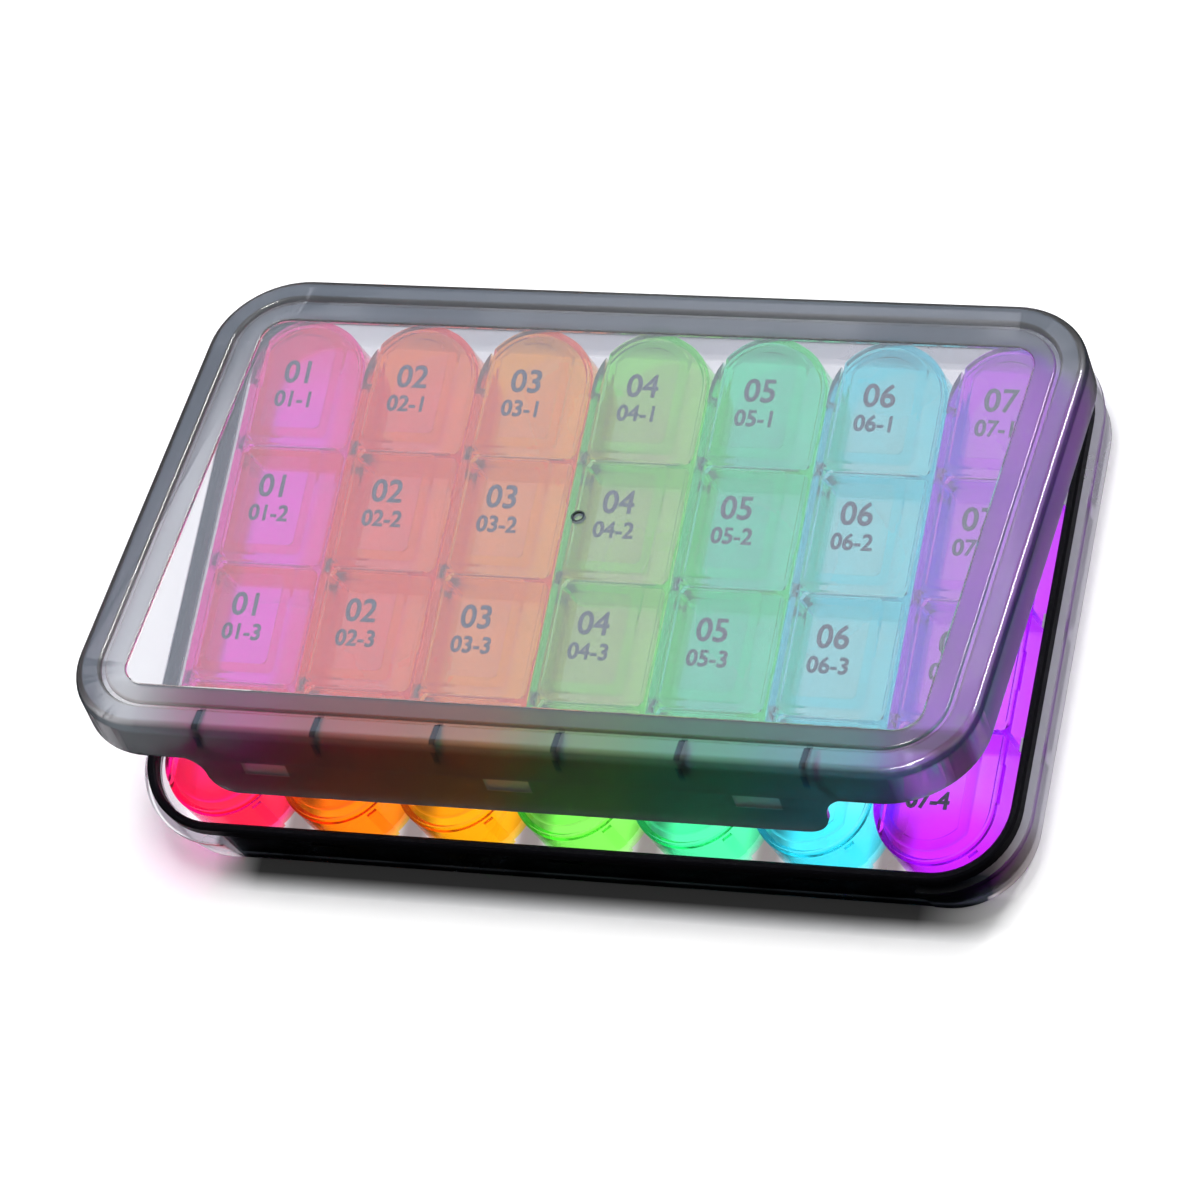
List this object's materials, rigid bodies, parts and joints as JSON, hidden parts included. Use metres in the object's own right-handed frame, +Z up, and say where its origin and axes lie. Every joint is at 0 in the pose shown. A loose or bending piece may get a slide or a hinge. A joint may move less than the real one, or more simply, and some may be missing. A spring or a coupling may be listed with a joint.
{
  "type": "pill organizer",
  "caption": "Weekly pill organizer: a smoke translucent hinged case with a front latch flap, holding a row of removable coloured day pods with flip-lid dose cells.",
  "frame": {"origin": "centre of the tray's flat underside, midway between its side walls and midway along the pods", "axes": "+X along the row of day pods from the first to the last, +Y towards the rear hinge, +Z up from the table"},
  "size_m": [0.209, 0.1349, 0.0625],
  "materials": {
    "smoke_plastic": "smoke-tinted translucent moulding, satin",
    "smoke_window": "smoke-tinted translucent panel, polished",
    "black_seal": "satin black moulded seal",
    "pin_steel": "bright drawn pin",
    "pod_pink": "tinted translucent moulding, glossy",
    "pod_red_orange": "tinted translucent moulding, glossy",
    "pod_orange": "tinted translucent moulding, glossy",
    "pod_lime": "tinted translucent moulding, glossy",
    "pod_green": "tinted translucent moulding, glossy",
    "pod_blue": "tinted translucent moulding, glossy",
    "pod_purple": "tinted translucent moulding, glossy"
  },
  "bodies": {
    "tray": {"base_tray": "smoke_plastic", "seal_ring": "black_seal", "hinge_pin_left": "pin_steel", "hinge_pin_right": "pin_steel"},
    "case_lid": {"case_lid": "smoke_plastic", "lid_skirt": "smoke_plastic", "lid_window": "smoke_window"},
    "pod_1": {"pod_1": "pod_pink"},
    "pod_lid_1a": {"pod_lid_1a": "pod_pink"},
    "pod_lid_1b": {"pod_lid_1b": "pod_pink"},
    "pod_lid_1c": {"pod_lid_1c": "pod_pink"},
    "pod_lid_1d": {"pod_lid_1d": "pod_pink"},
    "pod_2": {"pod_2": "pod_red_orange"},
    "pod_lid_2a": {"pod_lid_2a": "pod_red_orange"},
    "pod_lid_2b": {"pod_lid_2b": "pod_red_orange"},
    "pod_lid_2c": {"pod_lid_2c": "pod_red_orange"},
    "pod_lid_2d": {"pod_lid_2d": "pod_red_orange"},
    "pod_3": {"pod_3": "pod_orange"},
    "pod_lid_3a": {"pod_lid_3a": "pod_orange"},
    "pod_lid_3b": {"pod_lid_3b": "pod_orange"},
    "pod_lid_3c": {"pod_lid_3c": "pod_orange"},
    "pod_lid_3d": {"pod_lid_3d": "pod_orange"},
    "pod_4": {"pod_4": "pod_lime"},
    "pod_lid_4a": {"pod_lid_4a": "pod_lime"},
    "pod_lid_4b": {"pod_lid_4b": "pod_lime"},
    "pod_lid_4c": {"pod_lid_4c": "pod_lime"},
    "pod_lid_4d": {"pod_lid_4d": "pod_lime"},
    "pod_5": {"pod_5": "pod_green"},
    "pod_lid_5a": {"pod_lid_5a": "pod_green"},
    "pod_lid_5b": {"pod_lid_5b": "pod_green"},
    "pod_lid_5c": {"pod_lid_5c": "pod_green"},
    "pod_lid_5d": {"pod_lid_5d": "pod_green"},
    "pod_6": {"pod_6": "pod_blue"},
    "pod_lid_6a": {"pod_lid_6a": "pod_blue"},
    "pod_lid_6b": {"pod_lid_6b": "pod_blue"},
    "pod_lid_6c": {"pod_lid_6c": "pod_blue"},
    "pod_lid_6d": {"pod_lid_6d": "pod_blue"},
    "pod_7": {"pod_7": "pod_purple"},
    "pod_lid_7a": {"pod_lid_7a": "pod_purple"},
    "pod_lid_7b": {"pod_lid_7b": "pod_purple"},
    "pod_lid_7c": {"pod_lid_7c": "pod_purple"},
    "pod_lid_7d": {"pod_lid_7d": "pod_purple"}
  },
  "joints": [
    {"name": "case_lid_swing", "type": "hinge", "parent": "tray", "child": "case_lid", "pos_m": [0, 0.06755, 0.0152], "axis": [-1, 0, 0], "range_deg": [-16.8, 88]},
    {"name": "pod_1_lift", "type": "slide", "parent": "tray", "child": "pod_1", "axis": [0, 0, 1], "range_m": [0, 0.004]},
    {"name": "pod_lid_1a_flip", "type": "hinge", "parent": "pod_1", "child": "pod_lid_1a", "pos_m": [-0.0963, 0.0445, 0.01875], "axis": [0, -1, 0], "range_deg": [0, 12]},
    {"name": "pod_lid_1b_flip", "type": "hinge", "parent": "pod_1", "child": "pod_lid_1b", "pos_m": [-0.0963, 0.0144, 0.01875], "axis": [0, -1, 0], "range_deg": [0, 32]},
    {"name": "pod_lid_1c_flip", "type": "hinge", "parent": "pod_1", "child": "pod_lid_1c", "pos_m": [-0.0963, -0.0144, 0.01875], "axis": [0, -1, 0], "range_deg": [0, 65]},
    {"name": "pod_lid_1d_flip", "type": "hinge", "parent": "pod_1", "child": "pod_lid_1d", "pos_m": [-0.0963, -0.0445, 0.01875], "axis": [0, -1, 0], "range_deg": [0, 100]},
    {"name": "pod_2_lift", "type": "slide", "parent": "tray", "child": "pod_2", "axis": [0, 0, 1], "range_m": [0, 0.004]},
    {"name": "pod_lid_2a_flip", "type": "hinge", "parent": "pod_2", "child": "pod_lid_2a", "pos_m": [-0.0683, 0.0445, 0.01875], "axis": [0, -1, 0], "range_deg": [0, 12]},
    {"name": "pod_lid_2b_flip", "type": "hinge", "parent": "pod_2", "child": "pod_lid_2b", "pos_m": [-0.0683, 0.0144, 0.01875], "axis": [0, -1, 0], "range_deg": [0, 32]},
    {"name": "pod_lid_2c_flip", "type": "hinge", "parent": "pod_2", "child": "pod_lid_2c", "pos_m": [-0.0683, -0.0144, 0.01875], "axis": [0, -1, 0], "range_deg": [0, 65]},
    {"name": "pod_lid_2d_flip", "type": "hinge", "parent": "pod_2", "child": "pod_lid_2d", "pos_m": [-0.0683, -0.0445, 0.01875], "axis": [0, -1, 0], "range_deg": [0, 100]},
    {"name": "pod_3_lift", "type": "slide", "parent": "tray", "child": "pod_3", "axis": [0, 0, 1], "range_m": [0, 0.004]},
    {"name": "pod_lid_3a_flip", "type": "hinge", "parent": "pod_3", "child": "pod_lid_3a", "pos_m": [-0.0403, 0.0445, 0.01875], "axis": [0, -1, 0], "range_deg": [0, 12]},
    {"name": "pod_lid_3b_flip", "type": "hinge", "parent": "pod_3", "child": "pod_lid_3b", "pos_m": [-0.0403, 0.0144, 0.01875], "axis": [0, -1, 0], "range_deg": [0, 32]},
    {"name": "pod_lid_3c_flip", "type": "hinge", "parent": "pod_3", "child": "pod_lid_3c", "pos_m": [-0.0403, -0.0144, 0.01875], "axis": [0, -1, 0], "range_deg": [0, 65]},
    {"name": "pod_lid_3d_flip", "type": "hinge", "parent": "pod_3", "child": "pod_lid_3d", "pos_m": [-0.0403, -0.0445, 0.01875], "axis": [0, -1, 0], "range_deg": [0, 100]},
    {"name": "pod_4_lift", "type": "slide", "parent": "tray", "child": "pod_4", "axis": [0, 0, 1], "range_m": [0, 0.004]},
    {"name": "pod_lid_4a_flip", "type": "hinge", "parent": "pod_4", "child": "pod_lid_4a", "pos_m": [-0.0123, 0.0445, 0.01875], "axis": [0, -1, 0], "range_deg": [0, 12]},
    {"name": "pod_lid_4b_flip", "type": "hinge", "parent": "pod_4", "child": "pod_lid_4b", "pos_m": [-0.0123, 0.0144, 0.01875], "axis": [0, -1, 0], "range_deg": [0, 32]},
    {"name": "pod_lid_4c_flip", "type": "hinge", "parent": "pod_4", "child": "pod_lid_4c", "pos_m": [-0.0123, -0.0144, 0.01875], "axis": [0, -1, 0], "range_deg": [0, 65]},
    {"name": "pod_lid_4d_flip", "type": "hinge", "parent": "pod_4", "child": "pod_lid_4d", "pos_m": [-0.0123, -0.0445, 0.01875], "axis": [0, -1, 0], "range_deg": [0, 100]},
    {"name": "pod_5_lift", "type": "slide", "parent": "tray", "child": "pod_5", "axis": [0, 0, 1], "range_m": [0, 0.004]},
    {"name": "pod_lid_5a_flip", "type": "hinge", "parent": "pod_5", "child": "pod_lid_5a", "pos_m": [0.0157, 0.0445, 0.01875], "axis": [0, -1, 0], "range_deg": [0, 12]},
    {"name": "pod_lid_5b_flip", "type": "hinge", "parent": "pod_5", "child": "pod_lid_5b", "pos_m": [0.0157, 0.0144, 0.01875], "axis": [0, -1, 0], "range_deg": [0, 32]},
    {"name": "pod_lid_5c_flip", "type": "hinge", "parent": "pod_5", "child": "pod_lid_5c", "pos_m": [0.0157, -0.0144, 0.01875], "axis": [0, -1, 0], "range_deg": [0, 65]},
    {"name": "pod_lid_5d_flip", "type": "hinge", "parent": "pod_5", "child": "pod_lid_5d", "pos_m": [0.0157, -0.0445, 0.01875], "axis": [0, -1, 0], "range_deg": [0, 100]},
    {"name": "pod_6_lift", "type": "slide", "parent": "tray", "child": "pod_6", "axis": [0, 0, 1], "range_m": [0, 0.004]},
    {"name": "pod_lid_6a_flip", "type": "hinge", "parent": "pod_6", "child": "pod_lid_6a", "pos_m": [0.0437, 0.0445, 0.01875], "axis": [0, -1, 0], "range_deg": [0, 12]},
    {"name": "pod_lid_6b_flip", "type": "hinge", "parent": "pod_6", "child": "pod_lid_6b", "pos_m": [0.0437, 0.0144, 0.01875], "axis": [0, -1, 0], "range_deg": [0, 32]},
    {"name": "pod_lid_6c_flip", "type": "hinge", "parent": "pod_6", "child": "pod_lid_6c", "pos_m": [0.0437, -0.0144, 0.01875], "axis": [0, -1, 0], "range_deg": [0, 65]},
    {"name": "pod_lid_6d_flip", "type": "hinge", "parent": "pod_6", "child": "pod_lid_6d", "pos_m": [0.0437, -0.0445, 0.01875], "axis": [0, -1, 0], "range_deg": [0, 100]},
    {"name": "pod_7_lift", "type": "slide", "parent": "tray", "child": "pod_7", "axis": [0, 0, 1], "range_m": [0, 0.004]},
    {"name": "pod_lid_7a_flip", "type": "hinge", "parent": "pod_7", "child": "pod_lid_7a", "pos_m": [0.0717, 0.0445, 0.01875], "axis": [0, -1, 0], "range_deg": [0, 12]},
    {"name": "pod_lid_7b_flip", "type": "hinge", "parent": "pod_7", "child": "pod_lid_7b", "pos_m": [0.0717, 0.0144, 0.01875], "axis": [0, -1, 0], "range_deg": [0, 32]},
    {"name": "pod_lid_7c_flip", "type": "hinge", "parent": "pod_7", "child": "pod_lid_7c", "pos_m": [0.0717, -0.0144, 0.01875], "axis": [0, -1, 0], "range_deg": [0, 65]},
    {"name": "pod_lid_7d_flip", "type": "hinge", "parent": "pod_7", "child": "pod_lid_7d", "pos_m": [0.0717, -0.0445, 0.01875], "axis": [0, -1, 0], "range_deg": [0, 100]}
  ]
}
